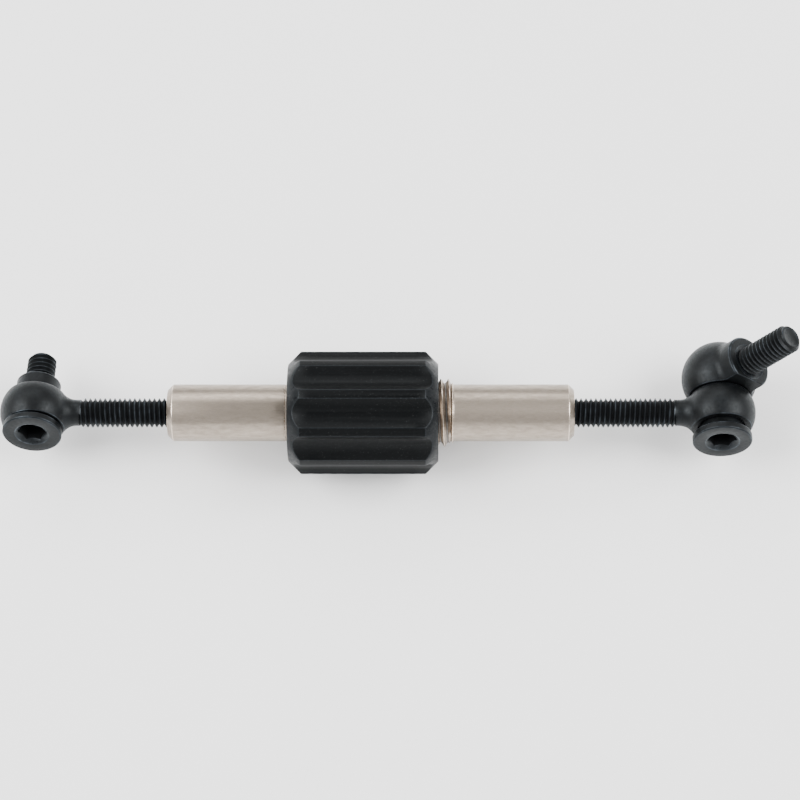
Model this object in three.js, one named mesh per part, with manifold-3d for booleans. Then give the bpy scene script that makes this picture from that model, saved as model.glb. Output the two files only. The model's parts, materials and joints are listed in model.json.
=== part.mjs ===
// Adjustable turnbuckle link: a fluted knob turns on a left sleeve and draws in a right sleeve,
// an eye rod is screwed into each sleeve (right-hand thread on the left, left-hand on the right),
// and shoulder bolts swivel in the eyes. The right bolt carries a knuckle with a threaded stud,
// which makes a cross joint. Millimetres, +X along the link, +Z up, standing on Z = 0.
import * as THREE from "three";
import { mergeVertices } from "three/addons/utils/BufferGeometryUtils.js";
import Module from "manifold-3d";

// Driving dimensions: knob
const KNOB_LENGTH = 30.35;
const KNOB_RADIUS = 12.4;
const KNOB_CHAMFER = 2.55;
const FLUTE_COUNT = 10;
const FLUTE_RADIUS = 4.55;
const FLUTE_FLOOR = 11.0; // distance of a flute's floor from the knob's axis
const KNOB_WALL = 5; // end wall that turns on the left sleeve's journal
const KNOB_BORE_RADIUS = 7.15; // runs over the right sleeve's M14 thread
const KNOB_BUSH_SEAT_RADIUS = 5.5;
const KNOB_MOUTH_CHAMFER = 0.5;

// Driving dimensions: sleeves
const SLEEVE_RADIUS = 5.75;
const LEFT_SLEEVE_LENGTH = 23.75;
const RIGHT_SLEEVE_PLAIN = 24.3;
const SLEEVE_CHAMFER = 1.1;
const SLEEVE_EDGE_BREAK = 0.2;
const ROD_BORE_RADIUS = 3.15;
const ROD_BORE_MOUTH = 3.5;
const LEFT_BORE_DEPTH = 21.6;
const DRILL_POINT = 1;
const THREAD_RADIUS = 6.9; // M14 x 1.5 on the right sleeve
const THREAD_SHOWING = 3.1;
const THREAD_ENGAGED = 14;
const THREAD_CHAMFER = 0.9;
const RUNOUT_RADIUS = 6.05;
const RUNOUT_WIDTH = 0.5;

// Driving dimensions: what holds the knob on the left sleeve
const JOURNAL_RADIUS = 4.25;
const JOURNAL_PROUD = 1.5; // how far the journal stands past the knob's end wall
const SCREW_RADIUS = 2.5; // M5 retaining screw
const SCREW_BORE_RADIUS = 2.65;
const SCREW_BORE_DEPTH = 8;
const SCREW_LENGTH = 8.5;
const SCREW_HEAD_RADIUS = 4.25;
const SCREW_HEAD_HEIGHT = 3.5;
const SCREW_TIP_CHAMFER = 0.5;
const SCREW_HEAD_EDGE = 0.3;
const SCREW_SOCKET_FLATS = 3;
const SCREW_SOCKET_DEPTH = 1.8;
const BUSH_WALL = 1.0;
const BUSH_FLANGE_RADIUS = 6.4;
const BUSH_FLANGE = 0.8;
const OUTER_WASHER_THICKNESS = 0.45;
const OUTER_WASHER_RADIUS = 5.7;
const WAVE_RADIUS = 6.3;
const WAVE_BORE_RADIUS = 4.6;
const WAVE_THICKNESS = 0.25;
const WAVE_HEIGHT = 0.12;
const WAVE_COUNT = 3;
const RETAINING_WASHER_RADIUS = 6.6;
const RETAINING_WASHER_THICKNESS = 1.2;

// Driving dimensions: eye rods and bolts
const ROD_RADIUS = 2.95; // M6 x 1
const ROD_THREAD_LENGTH = 32.3;
const ROD_TIP_CHAMFER = 0.6;
const NECK_RADIUS = 2.65;
const NECK_FILLET = 3.5;
const EYE_RADIUS = 7.0;
const EYE_WIDTH = 7.2;
const EYE_BORE_RADIUS = 4.75;
const EYE_TO_THREAD = 9.2;
const LEFT_EYE_TO_SLEEVE = 27.1;
const RIGHT_EYE_TO_SLEEVE = 29.75;
const HEAD_RADIUS = 6.0;
const HEAD_HEIGHT = 1.5;
const HEAD_EDGE = 0.25;
const SHOULDER_RADIUS = 4.5;
const SHOULDER_LENGTH = 11.4;
const SHOULDER_EDGE = 0.4;
const BOLT_THREAD_RADIUS = 2.95;
const BOLT_THREAD_LENGTH = 6.1;
const BOLT_NECK_RADIUS = 2.4;
const BOLT_NECK_LENGTH = 0.7;
const BOLT_THREAD_START = 0.5;
const SHOULDER_RELIEF_RADIUS = 3.1; // lets a plate lie flat round the thread
const SHOULDER_RELIEF_DEPTH = 0.25;
const SOCKET_FLATS = 5;
const SOCKET_DEPTH = 4.2;
const SOCKET_MOUTH_RADIUS = 3.4;
const LEFT_HEAD_FACE = 5.4; // from the eye's centre to the head's outer face
const RIGHT_HEAD_FACE = 6.85;

// Driving dimensions: knuckle
const KNUCKLE_RADIUS = 7.65;
const KNUCKLE_OFFSET = 7.95; // ball centre from the right eye's centre, along the bolt
const KNUCKLE_SEAT = 3.8; // seat plane from the right eye's centre, along the bolt
const BOSS_RADIUS = 5.5;
const BOSS_FACE = 8.8; // boss face from the ball's centre, along the stud
const BOSS_EDGE = 0.3;
const BOSS_FILLET = 2.5;
const STUD_RADIUS = 2.95;
const STUD_TIP = 20.8; // stud tip from the ball's centre
const STUD_TIP_CHAMFER = 0.7;
const STUD_RELIEF_RADIUS = 3.8;
const STUD_RELIEF_DEPTH = 0.3;

// How the link lies: turns about X, and the stud's turn about the right bolt
const KNOB_TURN = THREE.MathUtils.degToRad(2); // of the land that the knob lies on, from straight down
const LEFT_BOLT_DIP = THREE.MathUtils.degToRad(16.1);
const RIGHT_BOLT_DIP = THREE.MathUtils.degToRad(10.8);
const STUD_LIFT = THREE.MathUtils.degToRad(51.2);
const LEFT_BOLT_TILT = THREE.MathUtils.degToRad(2.4); // the slack in its eye lets it lean

// Places along the link, from the middle of the knob
const KNOB_LEFT = -KNOB_LENGTH / 2;
const KNOB_RIGHT = KNOB_LENGTH / 2;
const KNOB_WALL_INNER = KNOB_LEFT + KNOB_WALL;
const WASHER_GAP = 0.1;
const LEFT_SLEEVE_SHOULDER = KNOB_LEFT - OUTER_WASHER_THICKNESS - 2 * WASHER_GAP;
const LEFT_SLEEVE_FACE = LEFT_SLEEVE_SHOULDER - LEFT_SLEEVE_LENGTH;
const JOURNAL_END = KNOB_WALL_INNER + JOURNAL_PROUD;
const RIGHT_SLEEVE_INNER = KNOB_RIGHT - THREAD_ENGAGED;
const THREAD_END = KNOB_RIGHT + THREAD_SHOWING;
const RIGHT_SLEEVE_FACE = THREAD_END + RIGHT_SLEEVE_PLAIN;
const LEFT_EYE = LEFT_SLEEVE_FACE - LEFT_EYE_TO_SLEEVE;
const RIGHT_EYE = RIGHT_SLEEVE_FACE + RIGHT_EYE_TO_SLEEVE;

const RUNNING_GAP = 0.15; // radial play between a turning piece and its neighbour
const CUT_PAST = 1; // how far a cutter reaches past the face it opens
const EDGE_OVERLAP = 0.05; // keeps the stud's relief open to the outside
const SMOOTH = 72; // steps round the knob
const FINE = 36;
const COARSE = 24;
const ARC_STEPS = 5;

const wasm = await Module();
wasm.setup();

const materials = {
  knob: { color: 0x1b1d1f, roughness: 0.45, metalness: 0.6 },
  sleeve: { color: 0xb7afa6, roughness: 0.35, metalness: 1 },
  black: { color: 0x3c3f42, roughness: 0.5, metalness: 0.8 },
  bronze: { color: 0xa9824a, roughness: 0.4, metalness: 1 },
  spring: { color: 0x6d7076, roughness: 0.35, metalness: 1 },
  zinc: { color: 0xa7abb0, roughness: 0.4, metalness: 1 },
};

// A three.js geometry as a solid that can be joined and cut.
function solid(geometry) {
  const plain = geometry.clone();
  plain.deleteAttribute("normal");
  plain.deleteAttribute("uv");
  const merged = mergeVertices(plain, 1e-4);
  const mesh = new wasm.Mesh({
    numProp: 3,
    vertProperties: new Float32Array(merged.attributes.position.array),
    triVerts: new Uint32Array(merged.index.array),
  });
  return new wasm.Manifold(mesh);
}

// A solid as a three.js geometry.
function geometryOf(made) {
  const { numProp, vertProperties, triVerts, numVert } = made.getMesh();
  const positions = new Float32Array(numVert * 3);
  for (let i = 0; i < numVert; i++) {
    positions.set(vertProperties.subarray(i * numProp, i * numProp + 3), i * 3);
  }
  const geometry = new THREE.BufferGeometry();
  geometry.setAttribute("position", new THREE.BufferAttribute(positions, 3));
  geometry.setIndex(new THREE.BufferAttribute(new Uint32Array(triVerts), 1));
  geometry.computeVertexNormals();
  return geometry;
}

// The body of revolution about X of a profile of [x, radius] points, which starts and ends on the
// axis, or closes on itself round a bore when closed is true.
function turned(profile, segments = FINE, closed = false) {
  const points = profile.map(([x, r]) => new THREE.Vector2(r, x));
  if (closed) points.push(points[0].clone());
  const geometry = new THREE.LatheGeometry(points, segments);
  geometry.rotateZ(-Math.PI / 2);
  return solid(geometry);
}

function ring(from, to, inner, outer, segments = FINE) {
  const profile = [
    [from, inner],
    [from, outer],
    [to, outer],
    [to, inner],
  ];
  return turned(profile, segments, true);
}

function rod(from, to, radius, segments = FINE) {
  return turned([[from, 0], [from, radius], [to, radius], [to, 0]], segments);
}

// A hexagonal bar along X, flats apart as given.
function hexBar(from, to, flats) {
  const corner = flats / Math.sqrt(3);
  const bar = new THREE.CylinderGeometry(corner, corner, to - from, 6);
  bar.rotateZ(-Math.PI / 2);
  bar.translate((from + to) / 2, 0, 0);
  return solid(bar);
}

// The points of an arc in a profile, from one angle to another.
function arc(centreX, centreR, radius, start, end, steps = ARC_STEPS) {
  const points = [];
  for (let i = 0; i <= steps; i++) {
    const angle = start + ((end - start) * i) / steps;
    points.push([centreX + radius * Math.cos(angle), centreR + radius * Math.sin(angle)]);
  }
  return points;
}

function part(name, made, material) {
  const mesh = new THREE.Mesh(geometryOf(made), new THREE.MeshStandardMaterial(materials[material]));
  mesh.name = name;
  return mesh;
}

// Knob: a fluted bar with chamfered ends, an end wall on the left and a threaded bore on the right.
// The knob lies on a land that faces nearly straight down.
function flutedOutline() {
  const shape = new THREE.Shape();
  const flutePitch = (2 * Math.PI) / FLUTE_COUNT;
  const fluteCentre = FLUTE_FLOOR + FLUTE_RADIUS;
  const cosEdge =
    (KNOB_RADIUS ** 2 + fluteCentre ** 2 - FLUTE_RADIUS ** 2) / (2 * KNOB_RADIUS * fluteCentre);
  const edge = Math.acos(cosEdge);
  const swing = Math.asin((KNOB_RADIUS * Math.sin(edge)) / FLUTE_RADIUS);
  for (let i = 0; i < FLUTE_COUNT; i++) {
    const middle = KNOB_TURN + (i + 0.5) * flutePitch;
    const centre = [fluteCentre * Math.cos(middle), fluteCentre * Math.sin(middle)];
    shape.absarc(...centre, FLUTE_RADIUS, middle + Math.PI + swing, middle + Math.PI - swing, true);
    shape.absarc(0, 0, KNOB_RADIUS, middle + edge, middle + flutePitch - edge, false);
  }
  return shape;
}

function knob() {
  const bar = new THREE.ExtrudeGeometry(flutedOutline(), {
    depth: KNOB_LENGTH,
    bevelEnabled: false,
    curveSegments: ARC_STEPS,
  });
  bar.rotateY(Math.PI / 2);
  bar.translate(KNOB_LEFT, 0, 0);
  const barrel = turned(
    [
      [KNOB_LEFT, 0],
      [KNOB_LEFT, KNOB_RADIUS - KNOB_CHAMFER],
      [KNOB_LEFT + KNOB_CHAMFER, KNOB_RADIUS],
      [KNOB_LEFT + KNOB_CHAMFER, KNOB_RADIUS + CUT_PAST],
      [KNOB_RIGHT - KNOB_CHAMFER, KNOB_RADIUS + CUT_PAST],
      [KNOB_RIGHT - KNOB_CHAMFER, KNOB_RADIUS],
      [KNOB_RIGHT, KNOB_RADIUS - KNOB_CHAMFER],
      [KNOB_RIGHT, 0],
    ],
    SMOOTH,
  );
  const bore = turned([
    [KNOB_LEFT - CUT_PAST, 0],
    [KNOB_LEFT - CUT_PAST, KNOB_BUSH_SEAT_RADIUS],
    [KNOB_WALL_INNER, KNOB_BUSH_SEAT_RADIUS],
    [KNOB_WALL_INNER, KNOB_BORE_RADIUS],
    [KNOB_RIGHT - KNOB_MOUTH_CHAMFER, KNOB_BORE_RADIUS],
    [KNOB_RIGHT + CUT_PAST, KNOB_BORE_RADIUS + KNOB_MOUTH_CHAMFER + CUT_PAST],
    [KNOB_RIGHT + CUT_PAST, 0],
  ]);
  return solid(bar).intersect(barrel).subtract(bore);
}

// Bush in the knob's end wall, with a flange against the wall's inner face.
function knobBush() {
  const outer = KNOB_BUSH_SEAT_RADIUS - RUNNING_GAP;
  const flangeFrom = KNOB_WALL_INNER + WASHER_GAP;
  const profile = [
    [KNOB_LEFT + WASHER_GAP, outer - BUSH_WALL],
    [KNOB_LEFT + WASHER_GAP, outer],
    [flangeFrom, outer],
    [flangeFrom, BUSH_FLANGE_RADIUS],
    [flangeFrom + BUSH_FLANGE, BUSH_FLANGE_RADIUS],
    [flangeFrom + BUSH_FLANGE, outer - BUSH_WALL],
  ];
  return turned(profile, COARSE, true);
}

// Left sleeve: an M6 bore from the left, a journal on the right with an M5 bore in its end.
function leftSleeve() {
  const body = turned([
    [LEFT_SLEEVE_FACE, 0],
    [LEFT_SLEEVE_FACE, SLEEVE_RADIUS - SLEEVE_CHAMFER],
    [LEFT_SLEEVE_FACE + SLEEVE_CHAMFER, SLEEVE_RADIUS],
    [LEFT_SLEEVE_SHOULDER - SLEEVE_EDGE_BREAK, SLEEVE_RADIUS],
    [LEFT_SLEEVE_SHOULDER, SLEEVE_RADIUS - SLEEVE_EDGE_BREAK],
    [LEFT_SLEEVE_SHOULDER, JOURNAL_RADIUS],
    [JOURNAL_END, JOURNAL_RADIUS],
    [JOURNAL_END, 0],
  ]);
  const rodBore = turned([
    [LEFT_SLEEVE_FACE - CUT_PAST, 0],
    [LEFT_SLEEVE_FACE - CUT_PAST, ROD_BORE_MOUTH + CUT_PAST],
    [LEFT_SLEEVE_FACE + ROD_BORE_MOUTH - ROD_BORE_RADIUS, ROD_BORE_RADIUS],
    [LEFT_SLEEVE_FACE + LEFT_BORE_DEPTH, ROD_BORE_RADIUS],
    [LEFT_SLEEVE_FACE + LEFT_BORE_DEPTH + DRILL_POINT, 0],
  ]);
  const boreEnd = JOURNAL_END - SCREW_BORE_DEPTH;
  const screwBore = rod(boreEnd, JOURNAL_END + CUT_PAST, SCREW_BORE_RADIUS, COARSE);
  return body.subtract(rodBore).subtract(screwBore);
}

// Right sleeve: an M14 thread inside the knob, then a plain barrel, bored M6 all through.
function rightSleeve() {
  const body = turned([
    [RIGHT_SLEEVE_INNER, 0],
    [RIGHT_SLEEVE_INNER, THREAD_RADIUS - THREAD_CHAMFER],
    [RIGHT_SLEEVE_INNER + THREAD_CHAMFER, THREAD_RADIUS],
    [THREAD_END - RUNOUT_WIDTH, THREAD_RADIUS],
    [THREAD_END - RUNOUT_WIDTH, RUNOUT_RADIUS],
    [THREAD_END, RUNOUT_RADIUS],
    [THREAD_END, SLEEVE_RADIUS],
    [RIGHT_SLEEVE_FACE - SLEEVE_CHAMFER, SLEEVE_RADIUS],
    [RIGHT_SLEEVE_FACE, SLEEVE_RADIUS - SLEEVE_CHAMFER],
    [RIGHT_SLEEVE_FACE, 0],
  ]);
  const bore = turned([
    [RIGHT_SLEEVE_INNER - CUT_PAST, 0],
    [RIGHT_SLEEVE_INNER - CUT_PAST, ROD_BORE_RADIUS],
    [RIGHT_SLEEVE_FACE - ROD_BORE_MOUTH + ROD_BORE_RADIUS, ROD_BORE_RADIUS],
    [RIGHT_SLEEVE_FACE + CUT_PAST, ROD_BORE_MOUTH + CUT_PAST],
    [RIGHT_SLEEVE_FACE + CUT_PAST, 0],
  ]);
  return body.subtract(bore);
}

function outerWasher() {
  const from = LEFT_SLEEVE_SHOULDER + WASHER_GAP;
  const to = from + OUTER_WASHER_THICKNESS;
  return ring(from, to, JOURNAL_RADIUS + RUNNING_GAP, OUTER_WASHER_RADIUS);
}

// Wave spring: a thin ring whose flat faces rise and fall round the journal.
function waveSpring() {
  const from = KNOB_WALL_INNER + WASHER_GAP + BUSH_FLANGE + WAVE_HEIGHT + WASHER_GAP / 2;
  const flat = new THREE.Shape();
  flat.absarc(0, 0, WAVE_RADIUS, 0, 2 * Math.PI, false);
  const hole = new THREE.Path();
  hole.absarc(0, 0, WAVE_BORE_RADIUS, 0, 2 * Math.PI, true);
  flat.holes.push(hole);
  const plate = new THREE.ExtrudeGeometry(flat, {
    depth: WAVE_THICKNESS,
    bevelEnabled: false,
    curveSegments: FINE,
  });
  plate.rotateY(Math.PI / 2);
  const places = plate.attributes.position;
  for (let i = 0; i < places.count; i++) {
    const around = Math.atan2(places.getZ(i), places.getY(i));
    places.setX(i, places.getX(i) + from + WAVE_HEIGHT * Math.sin(WAVE_COUNT * around));
  }
  return solid(plate);
}

function retainingWasher() {
  const from = JOURNAL_END + WASHER_GAP;
  const to = from + RETAINING_WASHER_THICKNESS;
  return ring(from, to, SCREW_RADIUS + RUNNING_GAP, RETAINING_WASHER_RADIUS, COARSE);
}

function retainingScrew() {
  const headFrom = JOURNAL_END + RETAINING_WASHER_THICKNESS + 2 * WASHER_GAP;
  const headTo = headFrom + SCREW_HEAD_HEIGHT;
  const body = turned(
    [
      [headFrom - SCREW_LENGTH, 0],
      [headFrom - SCREW_LENGTH, SCREW_RADIUS - SCREW_TIP_CHAMFER],
      [headFrom - SCREW_LENGTH + SCREW_TIP_CHAMFER, SCREW_RADIUS],
      [headFrom, SCREW_RADIUS],
      [headFrom, SCREW_HEAD_RADIUS],
      [headTo - SCREW_HEAD_EDGE, SCREW_HEAD_RADIUS],
      [headTo, SCREW_HEAD_RADIUS - SCREW_HEAD_EDGE],
      [headTo, 0],
    ],
    COARSE,
  );
  return body.subtract(hexBar(headTo - SCREW_SOCKET_DEPTH, headTo + CUT_PAST, SCREW_SOCKET_FLATS));
}

// Eye rod along +X from its eye's centre: a ball with two flats, a filleted neck and an M6 thread.
// The eye's bore runs along Y.
function eyeRod() {
  const filletR = NECK_RADIUS + NECK_FILLET;
  const filletX = Math.sqrt((EYE_RADIUS + NECK_FILLET) ** 2 - filletR ** 2);
  const meet = Math.atan2(filletR, filletX);
  const end = EYE_TO_THREAD + ROD_THREAD_LENGTH;
  const fillet = arc(filletX, filletR, NECK_FILLET, meet + Math.PI, 1.5 * Math.PI).slice(1);
  const ball = arc(0, 0, EYE_RADIUS, Math.PI, meet, 3 * ARC_STEPS).slice(1);
  const body = turned([
    [-EYE_RADIUS, 0],
    ...ball,
    ...fillet,
    [EYE_TO_THREAD, NECK_RADIUS],
    [EYE_TO_THREAD + ROD_RADIUS - NECK_RADIUS, ROD_RADIUS],
    [end - ROD_TIP_CHAMFER, ROD_RADIUS],
    [end, ROD_RADIUS - ROD_TIP_CHAMFER],
    [end, 0],
  ]);
  const slab = new THREE.BoxGeometry(3 * end, EYE_WIDTH, 3 * EYE_RADIUS);
  const bore = rod(-EYE_WIDTH, EYE_WIDTH, EYE_BORE_RADIUS).rotate([0, 0, 90]);
  return body.intersect(solid(slab)).subtract(bore);
}

// Shoulder bolt along +Y, its head's outer face at -headFace from the eye's centre.
function shoulderBolt(headFace) {
  const under = HEAD_HEIGHT - headFace;
  const seat = under + SHOULDER_LENGTH;
  const tip = seat + BOLT_THREAD_LENGTH;
  const body = turned([
    [-headFace, 0],
    [-headFace, HEAD_RADIUS - HEAD_EDGE],
    [-headFace + HEAD_EDGE, HEAD_RADIUS],
    [under - HEAD_EDGE, HEAD_RADIUS],
    [under, HEAD_RADIUS - HEAD_EDGE],
    [under, SHOULDER_RADIUS],
    [seat - SHOULDER_EDGE, SHOULDER_RADIUS],
    [seat, SHOULDER_RADIUS - SHOULDER_EDGE],
    [seat, SHOULDER_RELIEF_RADIUS],
    [seat - SHOULDER_RELIEF_DEPTH, BOLT_NECK_RADIUS],
    [seat + BOLT_NECK_LENGTH, BOLT_NECK_RADIUS],
    [seat + BOLT_NECK_LENGTH + BOLT_THREAD_START, BOLT_THREAD_RADIUS],
    [tip - STUD_TIP_CHAMFER, BOLT_THREAD_RADIUS],
    [tip, BOLT_THREAD_RADIUS - STUD_TIP_CHAMFER],
    [tip, 0],
  ]);
  const socket = hexBar(-headFace - CUT_PAST, -headFace + SOCKET_DEPTH, SOCKET_FLATS);
  const mouth = turned([
    [-headFace - CUT_PAST, 0],
    [-headFace - CUT_PAST, SOCKET_MOUTH_RADIUS + CUT_PAST],
    [-headFace + SOCKET_MOUTH_RADIUS, 0],
  ]);
  return body.subtract(socket.add(mouth)).rotate([0, 0, 90]);
}

// Knuckle on the right bolt: a ball with a seat flat, a boss and a threaded stud. The bolt runs
// along +Y, the stud leaves the ball's centre along +X.
function knuckle() {
  const filletR = BOSS_RADIUS + BOSS_FILLET;
  const filletX = Math.sqrt((KNUCKLE_RADIUS + BOSS_FILLET) ** 2 - filletR ** 2);
  const meet = Math.atan2(filletR, filletX);
  const body = turned([
    [-KNUCKLE_RADIUS, 0],
    ...arc(0, 0, KNUCKLE_RADIUS, Math.PI, meet, 3 * ARC_STEPS).slice(1),
    ...arc(filletX, filletR, BOSS_FILLET, meet + Math.PI, 1.5 * Math.PI).slice(1),
    [BOSS_FACE - BOSS_EDGE, BOSS_RADIUS],
    [BOSS_FACE, BOSS_RADIUS - BOSS_EDGE],
    [BOSS_FACE, 0],
  ]);
  const stud = turned([
    [0, 0],
    [0, STUD_RADIUS],
    [STUD_TIP - STUD_TIP_CHAMFER, STUD_RADIUS],
    [STUD_TIP, STUD_RADIUS - STUD_TIP_CHAMFER],
    [STUD_TIP, 0],
  ]);
  const relief = turned(
    [
      [BOSS_FACE - STUD_RELIEF_DEPTH, STUD_RADIUS],
      [BOSS_FACE + EDGE_OVERLAP, STUD_RELIEF_RADIUS + EDGE_OVERLAP],
      [BOSS_FACE + EDGE_OVERLAP, STUD_RADIUS],
    ],
    FINE,
    true,
  );
  const below = KNUCKLE_OFFSET - KNUCKLE_SEAT;
  const seatCut = new THREE.BoxGeometry(4 * KNUCKLE_RADIUS, KNUCKLE_RADIUS, 4 * KNUCKLE_RADIUS);
  seatCut.translate(0, -below - KNUCKLE_RADIUS / 2, 0);
  const boltSeat = HEAD_HEIGHT - RIGHT_HEAD_FACE + SHOULDER_LENGTH + RUNNING_GAP;
  const boltTip = boltSeat + BOLT_THREAD_LENGTH + RUNNING_GAP;
  const counterbore = SHOULDER_RADIUS + RUNNING_GAP;
  const tapped = BOLT_THREAD_RADIUS + RUNNING_GAP;
  const bore = turned([
    [0, 0],
    [0, counterbore],
    [boltSeat, counterbore],
    [boltSeat, tapped],
    [boltTip, tapped],
    [boltTip, 0],
  ]);
  return body
    .subtract(relief)
    .add(stud)
    .subtract(solid(seatCut))
    .translate([0, KNUCKLE_OFFSET, 0])
    .subtract(bore.rotate([0, 0, 90]));
}

// The whole link, with its sleeves and knob on one axis.
const link = new THREE.Group();
link.name = "turnbuckle_link";

link.add(part("adjusting_knob", knob(), "knob"));
link.add(part("knob_bush", knobBush(), "bronze"));
link.add(part("left_sleeve", leftSleeve(), "sleeve"));
link.add(part("outer_thrust_washer", outerWasher(), "sleeve"));
link.add(part("wave_spring", waveSpring(), "spring"));
link.add(part("retaining_washer", retainingWasher(), "zinc"));
link.add(part("retaining_screw", retainingScrew(), "zinc"));
link.add(part("right_sleeve", rightSleeve(), "sleeve"));

const leftEnd = new THREE.Group();
leftEnd.position.x = LEFT_EYE;
leftEnd.rotation.x = -LEFT_BOLT_DIP;
leftEnd.add(part("left_eye_rod", eyeRod(), "black"));
const leftBolt = part("left_shoulder_bolt", shoulderBolt(LEFT_HEAD_FACE), "black");
leftBolt.rotation.z = -LEFT_BOLT_TILT;
leftEnd.add(leftBolt);
link.add(leftEnd);

const rightEnd = new THREE.Group();
rightEnd.position.x = RIGHT_EYE;
rightEnd.rotation.x = -RIGHT_BOLT_DIP;
const rightRod = part("right_eye_rod", eyeRod(), "black");
rightRod.rotation.z = Math.PI;
rightEnd.add(rightRod);
const crossJoint = new THREE.Group();
crossJoint.rotation.y = -STUD_LIFT;
crossJoint.add(part("right_shoulder_bolt", shoulderBolt(RIGHT_HEAD_FACE), "black"));
crossJoint.add(part("knuckle_stud", knuckle(), "black"));
rightEnd.add(crossJoint);
link.add(rightEnd);

// Stand the link on Z = 0, with the middle of its box over the origin.
link.updateMatrixWorld(true);
const box = new THREE.Box3().setFromObject(link, true);
const middle = box.getCenter(new THREE.Vector3());
link.position.set(-middle.x, -middle.y, -box.min.z);

export default link;
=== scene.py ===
# The looks of an adjustable turnbuckle link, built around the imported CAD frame. Every piece is
# made in millimetres along its own X axis and then put where the frame says.
import json
import math

import bmesh
import bpy
from mathutils import Matrix, Vector


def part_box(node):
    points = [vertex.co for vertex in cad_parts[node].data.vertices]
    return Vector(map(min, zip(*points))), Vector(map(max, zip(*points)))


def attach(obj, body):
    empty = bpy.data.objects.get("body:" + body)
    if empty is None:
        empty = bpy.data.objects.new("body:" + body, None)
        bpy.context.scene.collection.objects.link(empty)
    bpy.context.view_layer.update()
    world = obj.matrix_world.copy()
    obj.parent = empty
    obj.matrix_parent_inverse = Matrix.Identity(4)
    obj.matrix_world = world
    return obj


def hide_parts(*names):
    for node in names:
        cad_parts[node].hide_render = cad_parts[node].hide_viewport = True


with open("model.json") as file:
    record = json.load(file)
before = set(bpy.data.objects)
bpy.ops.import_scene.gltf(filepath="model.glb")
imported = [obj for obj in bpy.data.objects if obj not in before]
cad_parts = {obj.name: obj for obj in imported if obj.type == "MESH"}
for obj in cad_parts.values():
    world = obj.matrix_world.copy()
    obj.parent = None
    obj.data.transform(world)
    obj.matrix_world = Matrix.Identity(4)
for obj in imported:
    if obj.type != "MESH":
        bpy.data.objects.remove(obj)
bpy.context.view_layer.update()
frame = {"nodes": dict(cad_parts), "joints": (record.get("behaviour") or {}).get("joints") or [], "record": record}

MM = 0.001
TURN = 2 * math.pi
BLUNT = math.radians(172)  # a blunter corner isn't rounded
SMOOTH_BELOW = math.radians(32)  # an edge that turns less is shaded smooth
# The edge finish is wear with a painted highlight, the hollow finish is painted shade, and the chamfer finish is a
# painted highlight on chamfers and cones.
BODY, WORN_EDGE_HIGHLIGHT, HOLLOW_SHADE, CHAMFER_HIGHLIGHT = range(4)  # a face's finish, which picks its material

# Sizes in millimetres
# Knob
KNOB_RADIUS = 12.4
KNOB_CHAMFER = 2.55
KNOB_BORE = 7.15
KNOB_BUSH_SEAT = 5.5
KNOB_WALL = 5.0
KNOB_MOUTH = 0.5
FLUTE_COUNT = 10
FLUTE_RADIUS = 4.55
FLUTE_FLOOR = 11.0
KNOB_TURN = math.radians(2)  # of the land that the knob lies on, from straight down
LAND_CORNER = 0.010  # radians of the knob's turn that a land's soft corner takes
FLUTE_SWING = 0.99  # of a flute's arc, which leaves room for the soft corner
FLUTE_STEPS = 16
LAND_STEPS = 4
KNOB_ROWS = 12  # rows of faces along the knob

# Sleeves
SLEEVE_RADIUS = 5.75
SLEEVE_CHAMFER = 1.1
ROD_BORE = 3.15
ROD_BORE_DEPTH = 21.6
JOURNAL_RADIUS = 4.25
SCREW_BORE = 2.65
SCREW_BORE_DEPTH = 8.0
DRILL_POINT = 1.5
SCREW_DRILL_POINT = 1.0
BIG_THREAD_RADIUS = 6.9
BIG_THREAD_PITCH = 1.5
BIG_THREAD_SHOWING = 3.1
BIG_THREAD_FOOT = 6.0
BIG_THREAD_PHASE = -0.37  # turns
BIG_THREAD_END_SLOPE = 6.0
RUNOUT_RADIUS = 6.05
RUNOUT_WIDTH = 0.5
RUNOUT_RISE = 0.15
RUNOUT_FALL = 0.12
INNER_CHAMFER = 0.2
WASHER_BORE = 4.4
WASHER_RADIUS = 5.7

# Eye rods
ROD_RADIUS = 2.95
ROD_PITCH = 1.0
ROD_THREAD_LENGTH = 32.3
ROD_TIP_CHAMFER = 0.6
NECK_RADIUS = 2.65
NECK_FILLET = 3.5
EYE_RADIUS = 7.0
EYE_WIDTH = 7.2
EYE_BORE = 4.75
EYE_TO_THREAD = 9.2

# Shoulder bolts
HEAD_RADIUS = 6.0
HEAD_HEIGHT = 1.5
HEAD_CHAMFER = 0.22
HEAD_UNDERSIDE_CHAMFER = 0.15
HEAD_SOFT_EDGE = 0.08
SHOULDER_RADIUS = 4.5
SHOULDER_LENGTH = 11.4
SHOULDER_CHAMFER = 0.4
BOLT_THREAD_LENGTH = 6.1
BOLT_NECK_RADIUS = 2.45
BOLT_NECK_LENGTH = 0.5
SOCKET_FLATS = 5.0
SOCKET_DEPTH = 4.2
SOCKET_MOUTH = 3.4
SOCKET_RIM = 0.15
SOCKET_SOFT_EDGE = 0.07
HEX_SOFT_EDGE = 0.03
HEX_LIP = 0.05
SOCKET_DRILL_RADIUS = 2.3
SOCKET_DRILL_POINT = 1.2
LEFT_HEAD_FACE = 5.4
RIGHT_HEAD_FACE = 6.85

# Knuckle
KNUCKLE_RADIUS = 7.65
KNUCKLE_OFFSET = 7.95
KNUCKLE_SEAT = 4.15  # depth of the seat flat below the ball's centre
KNUCKLE_WELL = 2.0
KNUCKLE_BORE = 3.1
KNUCKLE_BORE_END = 4.3  # past the ball's centre
KNUCKLE_DRILL_POINT = 1.0
BOSS_RADIUS = 5.5
BOSS_FACE = 8.8
BOSS_FILLET = 2.5
STUD_TIP = 20.8
STUD_RELIEF = 3.65
STUD_RELIEF_DEPTH = 0.3
STUD_RELIEF_RIM = 0.12
STUD_RELIEF_LIP = 0.1
STUD_FOOT_STEP = 0.35
STUD_TIP_CHAMFER = 0.7

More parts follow.
